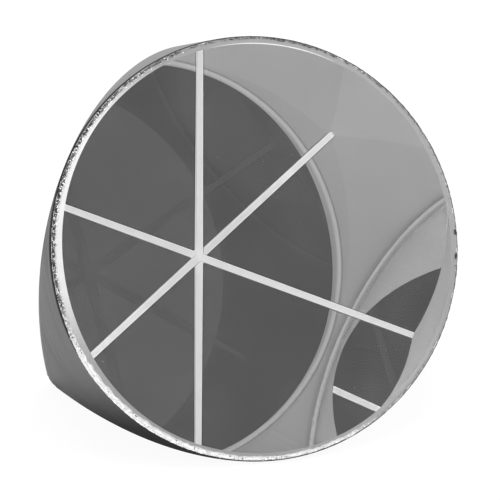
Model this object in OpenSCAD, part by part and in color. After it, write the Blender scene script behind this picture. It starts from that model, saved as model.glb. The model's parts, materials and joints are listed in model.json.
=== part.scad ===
// Survey prism: a corner cube of optical glass with silvered, plated and lacquered facets.
// Three facets meet square to each other at the apex, like the inside corner of a room, and send
// light back the way it came. The prism lies on its bottom facet with the top seam upright, and
// its round front face looks forward and up. Millimetres.
// The origin is on the rest plane, straight below the middle of the front face.

/* [Glass] */
// Diameter of the ground barrel
prism_d = 60; // [40:1:80]
// Height of the round band left between the facets and the front face
rim_band = 1.2; // [1.1:0.1:8]
// Width of the bevel round the front face, across the face
bevel_w = 1.0; // [0.3:0.1:2]
// Height of the same bevel, down the barrel
bevel_h = 0.4; // [0.3:0.1:0.9]
// Width of the ground flat along each seam, at the apex
seam_apex_w = 1.06; // [0.6:0.02:2.4]
// Width of the same flat where it runs out at the barrel
seam_rim_w = 0.88; // [0.4:0.02:2.4]
// Depth that the apex is ground back past the meeting of the three seams
apex_grind = 0.35; // [0.1:0.05:2]

/* [Coats] */
// Thickness of the silver film on each facet
silver_t = 0.05; // [0.02:0.01:0.2]
// Thickness of the copper plating behind the silver
copper_t = 0.05; // [0.02:0.01:0.2]
// Thickness of the lacquer on the facets and round the barrel
lacquer_t = 0.15; // [0.05:0.01:0.4]
// Bare margin between the ground seam and the silver
film_margin = 0.15; // [0.05:0.05:1]
// How far each coat stops short of the coat below it along the seams
coat_step = 0.15; // [0.05:0.05:0.5]
// Gap between the front bevel and the edge of the barrel lacquer
lacquer_setback = 0.1; // [0.05:0.01:0.18]

/* [Hidden] */

$fn = 180;
glass_colour = [0.72, 0.76, 0.76];
silver_colour = [0.86, 0.87, 0.88];
copper_colour = [0.72, 0.42, 0.28];
lacquer_colour = [0.24, 0.24, 0.25];

// Lean of the prism's axis from the upright seam: equal angles to the three seams of a cube corner
axis_lean = acos(1 / sqrt(3));
prism_axis = [0, -sin(axis_lean), cos(axis_lean)];
third_turn = 120;

prism_r = prism_d / 2;
// The facets meet the barrel highest at their middles, sqrt(2) radii in front of the sharp corner
facet_top = sqrt(2) * prism_r;
prism_h = facet_top + rim_band;
bevel_start = prism_h - bevel_h;

// A flat on a square edge leaves the facet this far from the sharp edge
seam_inset = max(seam_apex_w, seam_rim_w) / sqrt(2);
// Each sharp edge runs this far before it meets the barrel, and its flat leans by this angle
seam_length = prism_r / sin(axis_lean);
seam_lean = atan((seam_apex_w - seam_rim_w) / 2 / seam_length);
// The three seam flats meet this far along the axis from the sharp corner
seam_meeting = sqrt(3) * seam_inset / 2;
apex_cut = seam_meeting + apex_grind;

// Coats lie in this order behind each facet
copper_level = silver_t;
lacquer_level = copper_level + copper_t;
coats_t = lacquer_level + lacquer_t;

silver_inset = seam_inset + film_margin;
copper_inset = silver_inset + coat_step;
lacquer_inset = copper_inset + coat_step;
lacquer_end = bevel_start - lacquer_setback;

// Larger than any cut that a space or a cutter has to reach through
reach = 2 * prism_h;

// Which third of a turn about the axis carries the bottom facet to each place
bottom = 0;
right = 1;
left = 2;

// Lays the sharp corner behind the origin and lifts the bottom coats onto the rest plane
module set_down()
    translate([0, prism_h * sin(axis_lean), coats_t]) children();

// Turns a shape made at the bottom facet, or at the top seam, to another third of the prism
module on_third(third)
    rotate(a = third * third_turn, v = prism_axis) children();

// Lays a shape made along Z onto the prism's axis
module along_axis()
    rotate([axis_lean, 0, 0]) children();

// The inside of the cube corner, with its three sharp edges ground to flats
module ground_corner()
    difference() {
        rotate([0, 0, 225]) cube(reach);
        for (third = [bottom, right, left])
            on_third(third)
                translate([-reach, -seam_apex_w / 2, 0]) rotate([-seam_lean, 0, 0])
                    translate([0, 0, -reach / 2]) cube(2 * reach);
    }

// A round bar on the axis, between two heights from the sharp corner
module axis_bar(r, from, to)
    along_axis() translate([0, 0, from]) cylinder(r = r, h = to - from);

// The barrel from the ground apex to the bevelled front face
module bevelled_barrel()
    along_axis() rotate_extrude()
        polygon([[0, apex_cut], [prism_r, apex_cut], [prism_r, bevel_start],
                 [prism_r - bevel_w, prism_h], [0, prism_h]]);

module glass_prism()
    color(glass_colour, 0.5) set_down()
        intersection() {
            ground_corner();
            bevelled_barrel();
        }

// One flat coat behind a facet: a slab that starts level below the glass, inset from the seams
module facet_coat(third, level, thickness, inset)
    set_down() on_third(third)
        intersection() {
            rotate([0, 0, 225]) translate([inset, inset, -level - thickness])
                cube([reach, reach, thickness]);
            axis_bar(prism_r, apex_cut, prism_h);
        }

module silver_film(third)
    color(silver_colour) facet_coat(third, 0, silver_t, silver_inset);

module copper_film(third)
    color(copper_colour) facet_coat(third, copper_level, copper_t, copper_inset);

module lacquer_facet(third)
    color(lacquer_colour) facet_coat(third, lacquer_level, lacquer_t, lacquer_inset);

// The lacquer round the barrel: three tongues between the facets, joined by the band at the front
module lacquer_barrel()
    color(lacquer_colour) set_down()
        intersection() {
            ground_corner();
            difference() {
                axis_bar(prism_r + lacquer_t, 0, lacquer_end);
                axis_bar(prism_r, -prism_r, prism_h);
            }
        }

glass_prism();
silver_film(bottom);  // silver_film_bottom
silver_film(left);  // silver_film_left
silver_film(right);  // silver_film_right
copper_film(bottom);  // copper_film_bottom
copper_film(left);  // copper_film_left
copper_film(right);  // copper_film_right
lacquer_facet(bottom);  // lacquer_facet_bottom
lacquer_facet(left);  // lacquer_facet_left
lacquer_facet(right);  // lacquer_facet_right
lacquer_barrel();
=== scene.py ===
"""Looks for a survey prism: a corner cube of optical glass, seen from above and to the left.

A view ray bends at the round front face, runs to the three silvered facets, and comes back out, so
the seams and the barrel wall show mirror images, close to where the photograph shows them. Their
brightness is fitted to the photograph with painted light: the seam flats, the outside of the barrel
wall, the bevel's inner band, the chips and the hazy film on the face glow weakly, tones vary by
sector and near edges as painted light and shade, and a dark and a grey sheet stand in the studio.
The coats outside the glass get brushed lacquer.
Lengths are metres, in the part's own frame: +Z along the upright seam, -Y the side the face looks at.
"""
import json
import math
import random

import bmesh
import bpy
from mathutils import Matrix, Vector, noise


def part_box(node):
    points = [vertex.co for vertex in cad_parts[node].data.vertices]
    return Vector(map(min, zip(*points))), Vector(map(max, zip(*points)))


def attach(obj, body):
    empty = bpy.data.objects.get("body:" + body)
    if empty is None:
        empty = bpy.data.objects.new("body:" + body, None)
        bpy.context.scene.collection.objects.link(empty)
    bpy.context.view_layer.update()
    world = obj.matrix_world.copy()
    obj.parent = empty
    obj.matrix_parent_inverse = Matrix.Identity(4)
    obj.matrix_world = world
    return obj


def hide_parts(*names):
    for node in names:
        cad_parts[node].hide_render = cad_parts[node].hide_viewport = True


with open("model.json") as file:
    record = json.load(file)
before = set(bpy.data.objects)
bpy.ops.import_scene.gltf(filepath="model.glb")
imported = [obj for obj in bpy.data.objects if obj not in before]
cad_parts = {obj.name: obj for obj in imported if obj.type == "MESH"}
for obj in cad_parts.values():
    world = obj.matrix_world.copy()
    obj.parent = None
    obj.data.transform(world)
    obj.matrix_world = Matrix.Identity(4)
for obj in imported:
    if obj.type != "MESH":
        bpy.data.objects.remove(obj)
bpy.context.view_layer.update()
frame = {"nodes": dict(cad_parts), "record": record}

MM = 0.001

# ---------------------------------------------------------------------------------------------
# Sizes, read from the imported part
# ---------------------------------------------------------------------------------------------
AXIS_LEAN = math.acos(math.sqrt(1 / 3))                      # of the axis from the upright seam
AXIS = Vector((0, -math.sin(AXIS_LEAN), math.cos(AXIS_LEAN)))  # from the apex out of the front face
ACROSS = Vector((1, 0, 0))
UPWARD = AXIS.cross(ACROSS)                                  # up the front face


def spoke(turn):
    """The direction away from the axis at a turn about it: 0 to the right, a quarter turn up."""
    return ACROSS * math.cos(turn) + UPWARD * math.sin(turn)


def mount(name):
    """One of the part's stated interfaces."""
    return next(m for m in frame["record"]["mounts"] if m["name"] == name)


FACE_MIDDLE = Vector(mount("front_face")["pos_m"])
COAT_R = mount("barrel_seat")["dims"]["r_mm"] * MM           # outside of the barrel lacquer
GLASS_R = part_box("glass_prism")[1][0]                        # the barrel is widest across X
REST_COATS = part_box("glass_prism")[0][2]                     # thickness of the coats under the glass
# The sharp corner lies straight behind the face, level with the bottom facet
CORNER_DEPTH = (FACE_MIDDLE.z - REST_COATS) / AXIS.z
CORNER = FACE_MIDDLE - AXIS * CORNER_DEPTH

BEVEL_W = 1.0 * MM                                           # bevel round the face, across the face
BEVEL_H = 0.4 * MM                                           # and down the barrel
LACQUER_SETBACK = 0.1 * MM                                   # from the bevel to the lacquer's edge
SEAM_FLAT = 1.06 * MM                                        # width of a seam flat at the apex
SEAM_FLAT_RIM = 0.88 * MM                                    # and where it runs out at the barrel
BARE_MARGIN = 0.12 * MM                                      # between a seam flat and the silver
APEX_FLAT_DEPTH = 0.96 * MM
SKIN_GAP = 0.02 * MM                                         # keeps the glass off the coats round it
ROUND_STEPS = 1440
GLASS_INDEX = 1.517                                          # refractive index of crown glass
SAME_WAY = 0.9999                                            # cosine of two directions that count as one
BACKWARD = -0.99                                             # cosine of a face that looks backwards
BARREL_BACK = 0.2                                            # share of the depth, before it is ground

BEVEL_ROWS = 8
CHIP_DEPTH = 0.1 * MM
# Where the bevel is hand-ground narrower or wider: (turn and spread in degrees, inner edge moved out)
BEVEL_STRAY = ((185, 32, -0.48 * MM), (118, 26, 0.15 * MM), (234, 20, 0.15 * MM), (285, 18, 0.1 * MM))
EDGE_STRAY = 0.3 * MM                                        # how ragged the lacquer's front edge is
BARE_DEPTH = 1.1 * MM                                        # lacquer broken away at the lower left
BARE_MIDDLE = 232                                            # the middle of that, degrees about the axis
BARE_HALF = 38
BARE_FADE = 12
# The lacquer's section: (share of its thickness from the glass, share of its length from behind)
COAT_SECTION = ((0.1, 0.0), (0.1, 1.0), (0.55, 1.0), (0.95, 0.97), (0.99, 0.5), (0.95, 0.03))
SHARP_CORNER = math.radians(35)

THIRDS = [Matrix.Rotation(math.radians(120 * third), 3, AXIS) for third in range(3)]
FACETS = [turn @ Vector((0, 0, -1)) for turn in THIRDS]      # outward normals: bottom, right, left
SEAM_LEAN = math.atan((SEAM_FLAT - SEAM_FLAT_RIM) / 2 * math.sqrt(2 / 3) / GLASS_R)
SEAMS = [turn @ Vector((0, math.cos(SEAM_LEAN), -math.sin(SEAM_LEAN))) for turn in THIRDS]
SEAM_STARTS = [CORNER - turn @ Vector((0, SEAM_FLAT / 2, 0)) for turn in THIRDS]

# The photograph's view, in its 500 by 500 pixels
VIEW_FROM = Vector((-0.2921, -0.7812, 0.5455)).normalized()  # from the prism towards the camera
VIEW_LEAN = math.radians(4.4)                                # how far the upright seam leans right
RADIUS_PIXELS = 212.0                                        # the barrel's radius in the photograph
FACE_PIXEL = (255.8, 248.4)                                  # the middle of the front face
NICK_PIXELS = ((455, 232), (456, 256))                       # the two black lumps on the rim
NICK_SIZE = (0.85 * MM, 0.34 * MM, 0.1 * MM)                 # round the rim, across and above the bevel
NICK_POINTS = 40                                             # corners drawn for each lump's hull
NICK_LIFT = 0.02 * MM                                        # of a lump off the bevel
IMAGE_PIXELS = 500
VIEW_DISTANCE = 3.0                                          # of the camera from the front face
SENSOR = 36.0                                                # the camera's sensor width, in mm
CAMERA_REACH = 30                                            # how far the camera sees
LEVEL_RIGHT = Vector((0, 0, 1)).cross(VIEW_FROM).normalized()
ROLL = Matrix.Rotation(VIEW_LEAN, 3, VIEW_FROM)
VIEW_RIGHT = ROLL @ LEVEL_RIGHT
VIEW_UP = ROLL @ VIEW_FROM.cross(LEVEL_RIGHT)


# ---------------------------------------------------------------------------------------------
# Materials
# ---------------------------------------------------------------------------------------------
class Wire:
    """A value, vector or colour that runs from one node's socket to the next."""

    def __init__(self, tree, socket):
        self.tree = tree
        self.socket = socket

    def _math(self, operation, first, second):
        maths = self.tree.nodes.new("ShaderNodeMath")
        maths.operation = operation
        for place, value in enumerate((first, second)):
            plug(self.tree, maths.inputs[place], value)
        return Wire(self.tree, maths.outputs[0])

    def __add__(self, other):
        return self._math("ADD", self, other)

    def __sub__(self, other):
        return self._math("SUBTRACT", self, other)

    def __rsub__(self, other):
        return self._math("SUBTRACT", other, self)

    def __mul__(self, other):
        return self._math("MULTIPLY", self, other)

    def __truediv__(self, other):
        return self._math("DIVIDE", self, other)

    def __pow__(self, other):
        return self._math("POWER", self, other)

    __radd__ = __add__

    def function(self, name):
        """A function of this one value, such as its sine."""
        maths = self.tree.nodes.new("ShaderNodeMath")
        maths.operation = name
        self.tree.links.new(self.socket, maths.inputs[0])
        return Wire(self.tree, maths.outputs[0])

    def at_most(self, other):
        """The lesser of two values."""
        return self._math("MINIMUM", self, other)

    def clamped(self):
        """The value held between 0 and 1."""
        return self._math("MINIMUM", self._math("MAXIMUM", self, 0.0), 1.0)


def plug(tree, socket, value):
    """Links a wire to a socket, or sets the socket to a plain value."""
    if isinstance(value, Wire):
        tree.links.new(value.socket, socket)
    else:
        socket.default_value = value


class Network:
    """A node tree that is written as formulas."""

    def __init__(self, tree):
        self.tree = tree

    def node(self, kind, settings=None, output=0, **inputs):
        """Adds any node: its settings first, then the values or wires of its sockets."""
        made = self.tree.nodes.new(kind)
        for setting, value in (settings or {}).items():
            setattr(made, setting, value)
        for socket, value in inputs.items():
            index = int(socket[2:]) if socket.startswith("in") else socket.replace("_", " ")
            plug(self.tree, made.inputs[index], value)
        return Wire(self.tree, made.outputs[output])

    def vector_maths(self, operation, first, second, output=0):
        """One sum with two vectors."""
        return self.node("ShaderNodeVectorMath", {"operation": operation}, output, in0=first,
                         in1=second)

    def noise(self, place, scale, detail=3.0, roughness=0.5, output=0):
        """Soft noise from 0 to 1, with so many lumps to the metre."""
        return self.node("ShaderNodeTexNoise", output=output, Vector=place, Scale=scale,
                         Detail=detail, Roughness=roughness)


class Finish(Network):
    """A material with one Principled shader, whose fixed numbers are set on its own sockets."""

    def __init__(self, name, **fixed):
        self.material = bpy.data.materials.new(name)
        self.material.use_nodes = True
        super().__init__(self.material.node_tree)
        self.shader = self.tree.nodes["Principled BSDF"]
        for socket, value in fixed.items():
            self.shader.inputs[socket.replace("_", " ")].default_value = value

    def place(self):
        """Where a point of the piece lies, in metres."""
        return self.node("ShaderNodeTexCoord", output="Object")

    def step(self, value, low, high):
        """0 below low, 1 above high and a smooth rise between."""
        return self.node("ShaderNodeMapRange", {"interpolation_type": "SMOOTHSTEP"}, in0=value,
                         in1=low, in2=high)

    def blend(self, factor, first, second):
        """One colour over another, by a factor."""
        mixer = self.tree.nodes.new("ShaderNodeMix")
        mixer.data_type = "RGBA"
        plug(self.tree, mixer.inputs[0], factor)
        plug(self.tree, mixer.inputs[6], first)
        plug(self.tree, mixer.inputs[7], second)
        return Wire(self.tree, mixer.outputs[2])

    def along(self, place, direction):
        """How far a point lies from the sharp corner in a direction."""
        from_corner = self.vector_maths("SUBTRACT", place, tuple(CORNER))
        return self.vector_maths("DOT_PRODUCT", from_corner, tuple(direction), output=1)

    def from_axis(self, place):
        """How far a point lies from the prism's axis."""
        across = self.along(place, ACROSS)
        upward = self.along(place, UPWARD)
        return (across * across + upward * upward) ** 0.5

    def sector(self, place, middle, whole, none):
        """1 round the rim within so many degrees of a turn about the axis, 0 beyond so many more."""
        cosine = self.along(place, spoke(math.radians(middle))) / GLASS_R
        return self.step(cosine, math.cos(math.radians(none)), math.cos(math.radians(whole)))

    def beside_seam(self, place):
        """How far a point lies outside the edge of the nearest seam flat; negative on the flat."""
        nearest = 1.0
        for turn in THIRDS:
            aside = self.along(place, turn @ ACROSS).function("ABSOLUTE")
            # only the half plane in which this seam runs counts
            behind = (self.along(place, turn @ UPWARD) * -1000.0).clamped()
            nearest = (aside + behind).at_most(nearest)
        narrowing = (SEAM_FLAT - SEAM_FLAT_RIM) / 2 / GLASS_R
        return nearest + self.from_axis(place) * narrowing - SEAM_FLAT / 2

    def lacquer(self, stroke, across_stroke):
        """Brushed lacquer on the shader; gives its place, colour and roughness for more to be added."""
        place = self.place()
        streaks = self.node("ShaderNodeMapping", {"vector_type": "TEXTURE"}, Vector=place,
                            Rotation=(AXIS_LEAN, 0.0, 0.0),
                            Scale=(1 / stroke, 1 / stroke, 1 / across_stroke))
        streak = self.noise(streaks, 1.0, 5.0, 0.7)
        roughness = 0.36 + self.noise(place, 120.0, 3.0) * 0.2
        tone = self.blend(self.step(streak, 0.3, 0.7), grey(0.075), grey(0.16))
        self.feed(Base_Color=tone, Roughness=roughness)
        self.bump(streak, 0.05 * MM)
        return place, tone, roughness

    def feed(self, **wires):
        """Links what varies over the surface to the shader."""
        for socket, wire in wires.items():
            plug(self.tree, self.shader.inputs[socket.replace("_", " ")], wire)

    def bump(self, height, depth):
        """Raises the surface by a height from 0 to 1, over so many metres."""
        self.feed(Normal=self.node("ShaderNodeBump", Strength=1.0, Distance=depth, Height=height))


def grey(level):
    """A neutral colour."""
    return (level, level, level, 1.0)


def polished_glass():
    """The clear front face, with the faintest film of handling."""
    finish = Finish("polished_front_face", Transmission_Weight=1.0, IOR=GLASS_INDEX, Roughness=0.0,
                    Emission_Strength=1.0)
    place = finish.place()
    haze_and_painted_glow = finish.step(finish.noise(place, 90.0, 4.0), 0.4, 0.8)
    # the film also glows faintly: a painted glow
    finish.feed(Base_Color=finish.blend(haze_and_painted_glow * 0.12, grey(1.0), grey(0.9)),
                Emission_Color=finish.blend(haze_and_painted_glow, grey(0.0), grey(0.012)))
    return finish.material


def silvered_facet():
    """The silver film as it shows through the polished facet."""
    finish = Finish("silver_behind_facet", Metallic=1.0, Roughness=0.0)
    place = finish.place()
    cloud = finish.noise(place, 60.0, 3.0)
    # the silver stops just short of each seam
    bare = finish.step(finish.beside_seam(place), BARE_MARGIN, BARE_MARGIN * 0.4)
    silver = finish.blend(cloud, grey(0.95), grey(0.98))
    finish.feed(Base_Color=finish.blend(bare * 0.5, silver, grey(0.1)))
    return finish.material


def ground_wall():
    """The fine-ground barrel wall with the lacquer behind it, as it shows from inside."""
    finish = Finish("ground_barrel_wall", Roughness=0.9, Diffuse_Roughness=1.0,
                    Emission_Strength=1.0)
    place = finish.place()
    cloud = finish.noise(place, 70.0, 5.0, 0.6)
    tone = finish.blend(cloud, grey(0.76), grey(0.84))
    bevel_start = CORNER_DEPTH - BEVEL_H
    # painted shade: the wall is a little darker just behind the bevel
    edge = finish.step(finish.along(place, AXIS), bevel_start - 0.9 * MM, bevel_start - 0.3 * MM)
    # the wall glows from outside with painted light, which shows where the lacquer has broken away; seen
    # from inside it does not glow
    inside = finish.node("ShaderNodeNewGeometry", output="Backfacing")
    finish.feed(Base_Color=finish.blend(edge * 0.25, tone, grey(0.4)),
                Emission_Color=finish.blend(inside, grey(0.3), grey(0.0)))
    return finish.material


def ground_flat():
    """The ground seams and apex: frosted glass with nothing behind it, glowing with painted light."""
    finish = Finish("ground_seam_flat", Roughness=0.85, Emission_Strength=0.27)
    place = finish.place()
    grain = finish.noise(place, 1800.0, 2.0)
    # painted highlight: each flat glows brightest along its edges
    edge = finish.step(finish.beside_seam(place), -0.2 * MM, -0.05 * MM)
    # painted light: the flats glow, the lower left seam more than the other two
    lit = finish.step(finish.along(place, spoke(math.radians(210))), 0.0, 1.0 * MM)
    glow = finish.blend(lit, grey(1.08), grey(0.8))
    finish.feed(Base_Color=finish.blend(grain, grey(0.84), grey(0.97)),
                Emission_Color=finish.blend(edge, glow, grey(1.45)))
    return finish.material


def ground_bevel():
    """The bevel round the face: fine-ground inside, broken glass outside, painted light, shade and
    glint.
    """
    finish = Finish("ground_front_bevel", Roughness=0.7, Emission_Strength=1.0)
    place = finish.place()
    outward = (finish.from_axis(place) - (GLASS_R - BEVEL_W)) / BEVEL_W
    grain = finish.noise(place, 2600.0, 3.0, 0.7)
    lumps = finish.noise(place, 900.0, 2.0, 0.5)
    left = finish.sector(place, 168, 22, 62)
    below = finish.sector(place, 262, 52, 82)
    fresh_and_painted_light = finish.sector(place, 242, 40, 66)
    top = finish.sector(place, 78, 14, 26)
    # painted light and shade by sector: the fine-ground zone is light at the left, most towards its
    # inner edge, mid grey below and dark elsewhere
    fine_ground = finish.blend(finish.step(outward, 0.15, 0.9), grey(0.98), grey(0.55))
    fine_ground = finish.blend(left, grey(0.33), fine_ground)
    fine_ground = finish.blend(below, fine_ground, grey(0.46))
    # the broken zone is dark, a little lighter at the left, and white at the lower left: fresh chips
    # there, and painted light that comes through the glass
    broken = finish.blend(left, grey(0.35), grey(0.4))
    broken = finish.blend(fresh_and_painted_light, broken, grey(0.98))
    dark_bits = finish.step(grain - fresh_and_painted_light * 0.06, 0.58, 0.66)
    broken = finish.blend(dark_bits, broken, grey(0.12))
    outer_zone = finish.step(outward + (lumps - 0.5) * 0.6 + fresh_and_painted_light * 0.12, 0.5, 0.66)
    stain = finish.sector(place, 162, 24, 42) * finish.step(outward + (grain - 0.5) * 1.6, 0.45, 0.75)
    tone = finish.blend(outer_zone, fine_ground, broken)
    tone = finish.blend(stain * 0.6, tone, grey(0.05))
    # painted highlight: a glint along the inner edge at the top
    glint = top * finish.step(outward + (grain - 0.5) * 0.1, 0.16, 0.08)
    tone = finish.blend(glint, tone, grey(0.95))
    # from inside the glass the ground face behind the chips shows as a band, lightest in its middle:
    # painted shade towards both edges, most at the outer one, and a faint painted glow in the middle
    inside = finish.node("ShaderNodeNewGeometry", output="Backfacing")
    rise = finish.step(outward, 0.0, 0.5)
    fall = finish.step(outward, 0.68, 0.98)
    band = finish.blend(fall, finish.blend(rise, grey(0.76), grey(0.97)), grey(0.5))
    finish.feed(Base_Color=finish.blend(inside, tone, band),
                Emission_Color=finish.blend(rise * (1.0 - fall) * inside, grey(0.0), grey(0.13)))
    finish.bump(grain, 0.05 * MM)
    return finish.material


def brushed_lacquer(name, stroke, across_stroke):
    """Satin dark lacquer with fine streaks: stroke runs along the brush, in lumps to the metre."""
    finish = Finish(name)
    finish.lacquer(stroke, across_stroke)
    return finish.material


def barrel_lacquer():
    """The same lacquer, painted shade at the front bevel and underneath, painted highlights top and
    left.
    """
    finish = Finish("brushed_barrel_lacquer")
    place, tone, roughness = finish.lacquer(60.0, 1700.0)
    # painted highlights: lighter at the top and at the left
    tone = finish.blend(finish.sector(place, 108, 14, 34) * 0.6, tone, grey(0.3))
    tone = finish.blend(finish.sector(place, 200, 14, 34) * 0.35, tone, grey(0.3))
    # painted shade underneath, where the lacquer is also made rougher
    painted_under_shade = finish.sector(place, 262, 24, 54) * 0.95
    tone = finish.blend(painted_under_shade, tone, grey(0.01))
    front = CORNER_DEPTH - BEVEL_H
    # painted shade along the front edge, by the bevel, where the lacquer is also made rougher
    painted_front_shade = finish.step(finish.along(place, AXIS), front - 1.1 * MM, front - 0.5 * MM)
    finish.feed(Base_Color=finish.blend(painted_front_shade * 0.95, tone, grey(0.008)),
                Roughness=(roughness + painted_front_shade * 0.4 + painted_under_shade * 0.35).clamped())
    return finish.material


def broken_lacquer():
    """Crumbs of lacquer, black and dull where they broke."""
    finish = Finish("broken_lacquer_crumbs", Roughness=0.8, Specular_IOR_Level=0.15)
    cloud = finish.noise(finish.place(), 3000.0, 2.0)
    finish.feed(Base_Color=finish.blend(cloud, grey(0.006), grey(0.12)))
    return finish.material


def copper_plating():
    """Matt plated copper, a little darker where it has tarnished."""
    finish = Finish("copper_plating", Metallic=1.0)
    cloud = finish.noise(finish.place(), 260.0, 4.0)
    finish.feed(Base_Color=finish.blend(cloud, (0.56, 0.28, 0.17, 1.0), (0.78, 0.44, 0.30, 1.0)),
                Roughness=0.35 + cloud * 0.25)
    return finish.material


def silver_edge():
    """The silver film's own edge, dulled by the air."""
    finish = Finish("silver_film_edge", Metallic=1.0)
    cloud = finish.noise(finish.place(), 300.0, 3.0)
    finish.feed(Base_Color=finish.blend(cloud, grey(0.62), grey(0.82)), Roughness=0.2 + cloud * 0.2)
    return finish.material


def dust():
    """Pale dry dust."""
    finish = Finish("pale_dust", Roughness=0.9)
    cloud = finish.noise(finish.place(), 4000.0, 2.0)
    finish.feed(Base_Color=finish.blend(cloud, grey(0.4), grey(0.8)))
    return finish.material


def fresh_chip():
    """Freshly broken glass, white, with a painted glow."""
    finish = Finish("fresh_glass_chip", Roughness=0.35, Emission_Color=grey(1.0),
                    Emission_Strength=0.4)
    cloud = finish.noise(finish.place(), 5000.0, 2.0)
    finish.feed(Base_Color=finish.blend(cloud, grey(0.8), grey(1.0)))
    return finish.material


# ---------------------------------------------------------------------------------------------
# The glass
# ---------------------------------------------------------------------------------------------
def turned_solid(profile):
    """A closed solid turned about the prism's axis from (radius, height) points."""
    made = bmesh.new()
    rings = []
    for radius, height in profile:
        middle = CORNER + AXIS * height
        ring = []
        for step in range(ROUND_STEPS):
            turn = 2 * math.pi * step / ROUND_STEPS
            ring.append(made.verts.new(middle + spoke(turn) * radius))
        rings.append(ring)
    for lower, upper in zip(rings, rings[1:]):
        for step in range(ROUND_STEPS):
            after = (step + 1) % ROUND_STEPS
            made.faces.new((lower[step], lower[after], upper[after], upper[step]))
    made.faces.new(list(reversed(rings[0])))
    made.faces.new(rings[-1])
    return made


def grind(solid, point, normal):
    """Grinds a convex solid back to a plane and closes the cut with one flat face."""
    parts = solid.verts[:] + solid.edges[:] + solid.faces[:]
    cut = bmesh.ops.bisect_plane(solid, geom=parts, dist=1e-9, plane_co=point, plane_no=normal,
                                 clear_outer=True)
    loop = [e for e in cut["geom_cut"] if isinstance(e, bmesh.types.BMEdge)]
    bmesh.ops.edgenet_fill(solid, edges=loop)


def finished(name, solid, materials, choose=None, round_faces=()):
    """Makes a bmesh a named object; faces of the materials in round_faces are shaded smooth."""
    bmesh.ops.recalc_face_normals(solid, faces=solid.faces[:])
    for face in solid.faces:
        if choose:
            face.material_index = choose(face)
    mesh = bpy.data.meshes.new(name)
    solid.to_mesh(mesh)
    solid.free()
    for material in materials:
        mesh.materials.append(material)
    mesh.set_sharp_from_angle(angle=SHARP_CORNER)
    for face in mesh.polygons:
        face.use_smooth = face.material_index in round_faces
    piece = bpy.data.objects.new(name, mesh)
    bpy.context.scene.collection.objects.link(piece)
    return piece


def rim_chip(turn, outward):
    """How deep the bevel is chipped at a turn about the axis, from 0 to 1; outward is 1 at the edge."""
    place = Vector((math.cos(turn), math.sin(turn), 0)) * (GLASS_R / MM)
    coarse = noise.noise(place * 1.1 + Vector((0, 0, outward * 1.5)))
    fine = noise.noise(place * 3.1 + Vector((9, 0, outward * 3)))
    depth = max(0.0, coarse * 0.9 + fine * 0.5 - 0.05)
    return min(1.0, depth) * outward ** 1.5


def away_from(turn, middle):
    """The angle between a turn about the axis and a place on the rim given in degrees, in degrees."""
    return abs((math.degrees(turn) - middle + 180) % 360 - 180)


def bevel_stray(turn):
    """How far out the bevel's inner edge strays at a turn about the axis."""
    return sum(moved * math.exp(-(away_from(turn, middle) / spread) ** 2)
               for middle, spread, moved in BEVEL_STRAY)


def bevel_profile(radius):
    """Points down the bevel from the edge of the barrel to the face, as (radius, height) pairs."""
    for row in range(BEVEL_ROWS + 1):
        share = row / BEVEL_ROWS
        yield radius - share * BEVEL_W, CORNER_DEPTH - (1 - share) * BEVEL_H


def glass():
    """The prism: a bevelled barrel ground back to three facets, three seam flats and the apex."""
    radius = GLASS_R - SKIN_GAP
    back = BARREL_BACK * CORNER_DEPTH
    solid = turned_solid([(radius, back), *bevel_profile(radius)])
    slope = Vector((BEVEL_H, BEVEL_W)).normalized()
    for vert in solid.verts:
        corner_to = vert.co - CORNER
        height = corner_to.dot(AXIS)
        # the barrel's back end is brought down to the apex before it is ground away
        if height < back * 1.01:
            vert.co -= AXIS * (back - APEX_FLAT_DEPTH)
            continue
        outward = (CORNER_DEPTH - height) / BEVEL_H
        turn = math.atan2(corner_to.dot(UPWARD), corner_to.dot(ACROSS))
        depth = CHIP_DEPTH * rim_chip(turn, max(0.0, outward))
        out = (corner_to - AXIS * height).normalized()
        vert.co -= (out * slope.x + AXIS * slope.y) * depth
        vert.co += out * bevel_stray(turn) * (1 - outward)
    for normal in FACETS:
        grind(solid, CORNER - normal * SKIN_GAP, normal)
    for start, normal in zip(SEAM_STARTS, SEAMS):
        grind(solid, start, normal)

    def surface(face):
        normal = face.normal
        middle = face.calc_center_median()
        if normal.dot(AXIS) > SAME_WAY and (middle - FACE_MIDDLE).length < 0.1 * GLASS_R:
            return 0
        if any(normal.dot(facet) > SAME_WAY for facet in FACETS):
            return 1
        if any(normal.dot(seam) > SAME_WAY and abs((middle - start).dot(seam)) < SKIN_GAP
               for start, seam in zip(SEAM_STARTS, SEAMS)):
            return 3
        if normal.dot(AXIS) < BACKWARD:
            return 3
        if (middle - CORNER).dot(AXIS) > CORNER_DEPTH - BEVEL_H:
            return 4
        return 2

    materials = [polished_glass(), silvered_facet(), ground_wall(), ground_flat(), ground_bevel()]
    return finished("prism_glass", solid, materials, surface, round_faces=(2, 4))


def coat_edge(turn):
    """How far the lacquer's front edge strays from its line at a turn about the axis."""
    place = Vector((math.cos(turn), math.sin(turn), 0)) * (GLASS_R / MM)
    ragged = noise.noise(place * 1.7) * 0.6 + noise.noise(place * 4.3 + Vector((5, 0, 0))) * 0.4
    bare = min(1.0, max(0.0, (BARE_HALF - away_from(turn, BARE_MIDDLE)) / BARE_FADE))
    return ragged * EDGE_STRAY * (1 + bare) - bare * BARE_DEPTH


def coat_back(turn, radius):
    """Where the lacquer ends behind, at the facets and seam flats, as a height from the corner."""
    ends = []
    for start, normal in zip([CORNER] * 3 + SEAM_STARTS, FACETS + SEAMS):
        # the height at which this line along the barrel passes through the plane
        ends.append((start - CORNER - spoke(turn) * radius).dot(normal) / AXIS.dot(normal))
    return max(ends)


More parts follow.
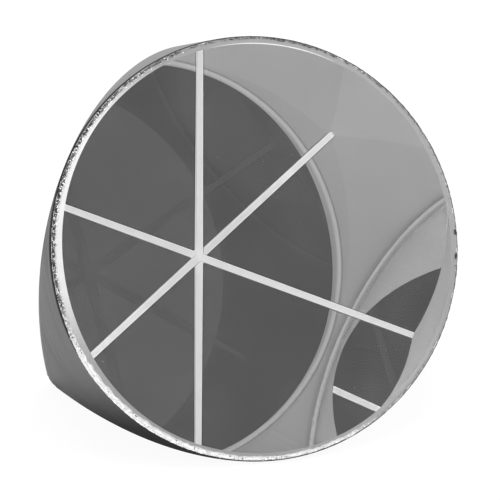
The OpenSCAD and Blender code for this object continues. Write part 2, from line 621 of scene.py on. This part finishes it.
def barrel_coat():
    """The lacquer round the barrel, a thin closed shell with tongues behind and a ragged front edge."""
    inner, outer = GLASS_R, COAT_R
    made = bmesh.new()
    rings = []
    for step in range(ROUND_STEPS):
        turn = 2 * math.pi * step / ROUND_STEPS
        front = CORNER_DEPTH - BEVEL_H - LACQUER_SETBACK + coat_edge(turn)
        ring = []
        for radius, share in COAT_SECTION:
            at = inner + (outer - inner) * radius
            back = coat_back(turn, at)
            ring.append(made.verts.new(CORNER + spoke(turn) * at
                                       + AXIS * (back + (front - back) * share)))
        rings.append(ring)
    for ring, after in zip(rings, rings[1:] + rings[:1]):
        for near in range(len(ring)):
            far = (near + 1) % len(ring)
            made.faces.new((ring[near], ring[far], after[far], after[near]))
    return finished("barrel_lacquer_coat", made, [barrel_finish], round_faces=(0,))


CRUMB_LUMPS = 9000.0                                         # lumps to the metre on a broken grain
CRUMB_FLATNESS = 0.5                                         # a crumb's height as a share of its length
DUST_FLATNESS = 0.3
DUST_LIFT = 0.01 * MM                                        # of the dust off the front face


class Pattern(Network):
    """A Geometry Nodes group with named inputs, whose result becomes one plain mesh."""

    def __init__(self, name, **given):
        super().__init__(bpy.data.node_groups.new(name, "GeometryNodeTree"))
        self.name = name
        self.given = given
        for label, value in given.items():
            kind = "NodeSocketInt" if isinstance(value, int) else "NodeSocketFloat"
            self.tree.interface.new_socket(label, in_out="INPUT", socket_type=kind)
        self.tree.interface.new_socket("Geometry", in_out="OUTPUT", socket_type="NodeSocketGeometry")
        self.entry = self.tree.nodes.new("NodeGroupInput")
        self.seed = 0

    def value(self, label):
        """One of the group's named inputs."""
        return Wire(self.tree, self.entry.outputs[label])

    def chance(self, low, high):
        """A random number for each piece; each call draws afresh."""
        self.seed += 1
        return self.node("FunctionNodeRandomValue", {"data_type": "FLOAT"}, output=1, in2=low,
                         in3=high, in8=self.seed)

    def crumbs(self, points, size, flatness):
        """A small broken grain on every point, each turned, stretched and knocked about."""
        grain = self.node("GeometryNodeMeshIcoSphere", Radius=1.0, Subdivisions=1)
        turn = self.node("ShaderNodeCombineXYZ", in0=0.0, in1=0.0, in2=self.chance(0.0, 6.28))
        length = size * self.chance(0.4, 1.0)
        scale = self.node("ShaderNodeCombineXYZ", in0=length, in1=length * self.chance(0.4, 0.9),
                          in2=length * flatness)
        grains = self.node("GeometryNodeInstanceOnPoints", Points=points, Instance=grain,
                           Rotation=turn, Scale=scale)
        real = self.node("GeometryNodeRealizeInstances", Geometry=grains)
        spot = self.node("GeometryNodeInputPosition")
        stray = self.noise(spot, CRUMB_LUMPS, 1.0, output=1)
        knock = self.vector_maths("SUBTRACT", stray, (0.5, 0.5, 0.5))
        knock = self.node("ShaderNodeVectorMath", {"operation": "SCALE"}, in0=knock, Scale=size)
        return self.node("GeometryNodeSetPosition", Geometry=real, Offset=knock)

    def body(self, geometry, material):
        """Turns the pattern from lying on the axis to the prism and makes it a plain mesh."""
        upright = Matrix((ACROSS, UPWARD, AXIS)).transposed().to_euler()
        placed = self.node("GeometryNodeTransform", Geometry=geometry, Translation=tuple(CORNER),
                           Rotation=tuple(upright))
        real = self.node("GeometryNodeRealizeInstances", Geometry=placed)
        painted = self.node("GeometryNodeSetMaterial", Geometry=real, Material=material)
        out = self.tree.nodes.new("NodeGroupOutput")
        self.tree.links.new(painted.socket, out.inputs[0])
        piece = bpy.data.objects.new(self.name, bpy.data.meshes.new(self.name))
        bpy.context.scene.collection.objects.link(piece)
        modifier = piece.modifiers.new(self.name, "NODES")
        modifier.node_group = self.tree
        for item in self.tree.interface.items_tree:
            if item.in_out == "INPUT":
                modifier[item.identifier] = self.given[item.name]
        evaluated = piece.evaluated_get(bpy.context.evaluated_depsgraph_get())
        mesh = bpy.data.meshes.new_from_object(evaluated)
        piece.modifiers.clear()
        piece.data = mesh
        return piece


def rim_crumbs(name, material, count, size, middle, spread, inset, sink):
    """Crumbs along the rim, thickest at one turn and thinning out either way.

    inset is how far they lie inside the barrel and sink how far below the ground surface, both as
    (least, most) in metres; middle and spread are degrees about the axis.
    """
    pattern = Pattern(name, Count=count, Size=size, Middle=math.radians(middle),
                      Spread=math.radians(spread))
    turn = pattern.value("Middle") + pattern.value("Spread") * (
        pattern.chance(-0.5, 0.5) + pattern.chance(-0.5, 0.5))
    inwards = pattern.chance(*inset)
    radius = GLASS_R - inwards
    # down the bevel's slope, and no further than the top of the barrel
    slope = (1.0 - inwards / BEVEL_W).clamped() * BEVEL_H
    height = CORNER_DEPTH - slope - pattern.chance(*sink)
    spot = pattern.node("ShaderNodeCombineXYZ", in0=radius * turn.function("COSINE"),
                        in1=radius * turn.function("SINE"), in2=height)
    points = pattern.node("GeometryNodePoints", Count=pattern.value("Count"), Position=spot)
    return pattern.body(pattern.crumbs(points, pattern.value("Size"), CRUMB_FLATNESS), material)


def face_dust():
    """A sparse fall of dust on the front face."""
    pattern = Pattern("front_face_dust", Count=50, Size=0.08 * MM)
    turn = pattern.chance(0.0, 2 * math.pi)
    radius = pattern.chance(0.0, 1.0) ** 0.5 * (GLASS_R - BEVEL_W)
    spot = pattern.node("ShaderNodeCombineXYZ", in0=radius * turn.function("COSINE"),
                        in1=radius * turn.function("SINE"), in2=CORNER_DEPTH + DUST_LIFT)
    points = pattern.node("GeometryNodePoints", Count=pattern.value("Count"), Position=spot)
    return pattern.body(pattern.crumbs(points, pattern.value("Size"), DUST_FLATNESS), dust())


def rim_turn(pixel):
    """The turn about the axis of a pixel of the photograph that lies on the rim."""
    shift = VIEW_RIGHT * (pixel[0] - FACE_PIXEL[0]) - VIEW_UP * (pixel[1] - FACE_PIXEL[1])
    on_face = shift - VIEW_FROM * (shift.dot(AXIS) / VIEW_FROM.dot(AXIS))
    return math.atan2(on_face.dot(UPWARD), on_face.dot(ACROSS))


def lacquer_nicks():
    """The two lumps of black lacquer left on the bevel at the right."""
    lumps = bmesh.new()
    draw = random.Random(4)
    for pixel in NICK_PIXELS:
        middle = rim_turn(pixel)
        points = []
        for step in range(NICK_POINTS):
            stray = [draw.random() for axis in range(3)]
            inset = NICK_SIZE[1] * (0.1 + stray[1])
            slope = (1 - inset / BEVEL_W) * BEVEL_H
            height = CORNER_DEPTH - slope + NICK_LIFT + NICK_SIZE[2] * stray[2]
            turn = middle + NICK_SIZE[0] * (stray[0] - 0.5) / GLASS_R
            points.append(lumps.verts.new(CORNER + spoke(turn) * (GLASS_R - inset) + AXIS * height))
        hull = bmesh.ops.convex_hull(lumps, input=points)
        bmesh.ops.delete(lumps, geom=hull["geom_interior"], context="VERTS")
    return finished("lacquer_nicks", lumps, [crumb_finish])


prism = glass()
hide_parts("glass_prism")
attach(prism, "root")

barrel_finish = barrel_lacquer()
coat = barrel_coat()
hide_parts("lacquer_barrel")
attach(coat, "root")

chip_finish = fresh_chip()
crumb_finish = broken_lacquer()
BEVEL_TOP = (-0.08 * MM, -0.045 * MM)                         # crumbs lying on the bevel
CRUMBS = [
    rim_crumbs("glass_chips_below", chip_finish, 560, 0.12 * MM, 248, 66, (0.02 * MM, 0.3 * MM),
               BEVEL_TOP),
    rim_crumbs("glass_chips_lower_left", chip_finish, 320, 0.11 * MM, 226, 32,
               (-0.1 * MM, -0.06 * MM), (0.0, 0.8 * MM)),
    rim_crumbs("glass_chips_left", chip_finish, 380, 0.12 * MM, 152, 50, (0.1 * MM, 0.55 * MM),
               BEVEL_TOP),
    rim_crumbs("lacquer_crumbs_left", crumb_finish, 800, 0.13 * MM, 152, 54, (0.0, 0.36 * MM),
               BEVEL_TOP),
    rim_crumbs("lacquer_crumbs_top", crumb_finish, 520, 0.10 * MM, 72, 60, (0.0, 0.3 * MM), BEVEL_TOP),
    rim_crumbs("lacquer_crumbs_right", crumb_finish, 170, 0.07 * MM, 345, 36, (-0.02 * MM, 0.08 * MM),
               BEVEL_TOP),
    rim_crumbs("lacquer_crumbs_below", crumb_finish, 150, 0.10 * MM, 262, 80, (0.0, 0.35 * MM),
               BEVEL_TOP),
    face_dust(),
    lacquer_nicks(),
]
for crumb in CRUMBS:
    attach(crumb, "root")

CAD_FINISHES = {"lacquer_facet": brushed_lacquer("brushed_facet_lacquer", 700.0, 60.0),
                "copper_film": copper_plating(), "silver_film": silver_edge()}
for node_name, node_object in frame["nodes"].items():
    for start_of_name, node_finish in CAD_FINISHES.items():
        if node_name.startswith(start_of_name):
            node_object.data.materials.clear()
            node_object.data.materials.append(node_finish)


# ---------------------------------------------------------------------------------------------
# Camera, light and floor
# ---------------------------------------------------------------------------------------------
FLOOR_SIZE = 6
SHEET_DISTANCE = 3.2                                         # of the studio's sheets from the face
LAMP_DISTANCE = 1.6
RAY_BOUNCES = 24


def set_camera():
    """A long lens at VIEW_DISTANCE, a compromise: no one distance fits all of the photograph's lines."""
    data = bpy.data.cameras.new("camera")
    camera = bpy.data.objects.new("camera", data)
    bpy.context.scene.collection.objects.link(camera)
    bpy.context.scene.camera = camera
    pixel = GLASS_R / RADIUS_PIXELS
    aim = FACE_MIDDLE - VIEW_RIGHT * (FACE_PIXEL[0] - IMAGE_PIXELS / 2) * pixel
    aim += VIEW_UP * (FACE_PIXEL[1] - IMAGE_PIXELS / 2) * pixel
    camera.matrix_world = Matrix.Translation(aim + VIEW_FROM * VIEW_DISTANCE) @ Matrix(
        (VIEW_RIGHT, VIEW_UP, VIEW_FROM)).transposed().to_4x4()
    data.sensor_width = SENSOR
    data.lens = SENSOR * VIEW_DISTANCE / (IMAGE_PIXELS * pixel)
    data.clip_end = CAMERA_REACH


def lamp(name, towards, size, power):
    """A square softbox that faces the prism from a given direction."""
    data = bpy.data.lights.new(name, "AREA")
    data.size = size
    data.energy = power
    box = bpy.data.objects.new(name, data)
    direction = Vector(towards).normalized()
    box.location = FACE_MIDDLE + direction * LAMP_DISTANCE
    box.rotation_euler = direction.to_track_quat("Z", "Y").to_euler()
    bpy.context.scene.collection.objects.link(box)


def set_world(level):
    """Even light on the object, and plain white where the camera or the glass looks past it."""
    world = bpy.data.worlds.new("studio")
    bpy.context.scene.world = world
    world.use_nodes = True
    tree = world.node_tree
    tree.nodes.clear()
    path = tree.nodes.new("ShaderNodeLightPath")
    seen = Wire(tree, path.outputs["Is Camera Ray"])
    seen = seen + Wire(tree, path.outputs["Is Glossy Ray"])
    seen = (seen + Wire(tree, path.outputs["Is Transmission Ray"])).clamped()
    sky = tree.nodes.new("ShaderNodeBackground")
    sky.inputs["Color"].default_value = grey(1.0)
    plug(tree, sky.inputs["Strength"], seen * (1 - level) + level)
    out = tree.nodes.new("ShaderNodeOutputWorld")
    tree.links.new(sky.outputs[0], out.inputs[0])


def flat_sheet(name, middle, normal, size):
    """A plain square sheet for the studio."""
    solid = bmesh.new()
    turn = Vector(normal).to_track_quat("Z", "Y").to_matrix().to_4x4()
    bmesh.ops.create_grid(solid, x_segments=1, y_segments=1, size=size / 2,
                          matrix=Matrix.Translation(middle) @ turn)
    mesh = bpy.data.meshes.new(name)
    solid.to_mesh(mesh)
    solid.free()
    sheet = bpy.data.objects.new(name, mesh)
    bpy.context.scene.collection.objects.link(sheet)
    return sheet


def floor():
    """A pale floor that reads as white and keeps the prism's soft shadow."""
    sheet = flat_sheet("floor", (0, 0, 0), (0, 0, 1), FLOOR_SIZE)
    material = bpy.data.materials.new("pale_floor")
    material.use_nodes = True
    tree = material.node_tree
    shader = tree.nodes["Principled BSDF"]
    shader.inputs["Base Color"].default_value = grey(0.55)
    shader.inputs["Roughness"].default_value = 0.9
    shader.inputs["Specular IOR Level"].default_value = 0.0
    path = tree.nodes.new("ShaderNodeLightPath")
    seen = Wire(tree, path.outputs["Is Camera Ray"]) * 0.85
    seen = seen + Wire(tree, path.outputs["Is Transmission Ray"]) * 0.3
    seen = (seen + Wire(tree, path.outputs["Is Glossy Ray"]) * 0.1).clamped()
    glow = tree.nodes.new("ShaderNodeEmission")
    glow.inputs["Color"].default_value = grey(1.0)
    glow.inputs["Strength"].default_value = 1.1
    mixer = tree.nodes.new("ShaderNodeMixShader")
    plug(tree, mixer.inputs[0], seen)
    tree.links.new(shader.outputs[0], mixer.inputs[1])
    tree.links.new(glow.outputs[0], mixer.inputs[2])
    tree.links.new(mixer.outputs[0], tree.nodes["Material Output"].inputs[0])
    sheet.data.materials.append(material)


def studio_sheet(name, towards, half_angle, level):
    """An unlit part of the studio, which only the prism's mirrors and its front face show."""
    towards = Vector(towards).normalized()
    width = 2 * SHEET_DISTANCE * math.tan(math.radians(half_angle))
    sheet = flat_sheet(name, FACE_MIDDLE + towards * SHEET_DISTANCE, towards * -1, width)
    material = bpy.data.materials.new(name)
    material.use_nodes = True
    tree = material.node_tree
    glow = tree.nodes.new("ShaderNodeEmission")
    glow.inputs["Color"].default_value = grey(level)
    tree.links.new(glow.outputs[0], tree.nodes["Material Output"].inputs[0])
    sheet.data.materials.append(material)
    sheet.visible_camera = False
    sheet.visible_diffuse = False
    sheet.visible_shadow = False


bpy.context.scene.view_settings.view_transform = "Standard"
set_camera()
# a ray in the prism meets the mirrors up to a dozen times before it leaves
for limit in ("max_bounces", "glossy_bounces", "transmission_bounces"):
    setattr(bpy.context.scene.cycles, limit, RAY_BOUNCES)
set_world(0.45)
lamp("top_softbox", (0.0, 0.1, 1.0), 0.9, 12)
lamp("right_softbox", (0.9, -0.136, 0.4), 1.4, 20)
lamp("left_softbox", (-1.0, 0.15, 0.35), 1.0, 9)
floor()
# the dark side of the studio lies round the camera, and a greyer part high on the right
studio_sheet("dark_studio", (-0.364, -0.621, 0.695), 23, 0.05)
studio_sheet("grey_studio", (0.4, -0.439, 0.804), 9, 0.6)
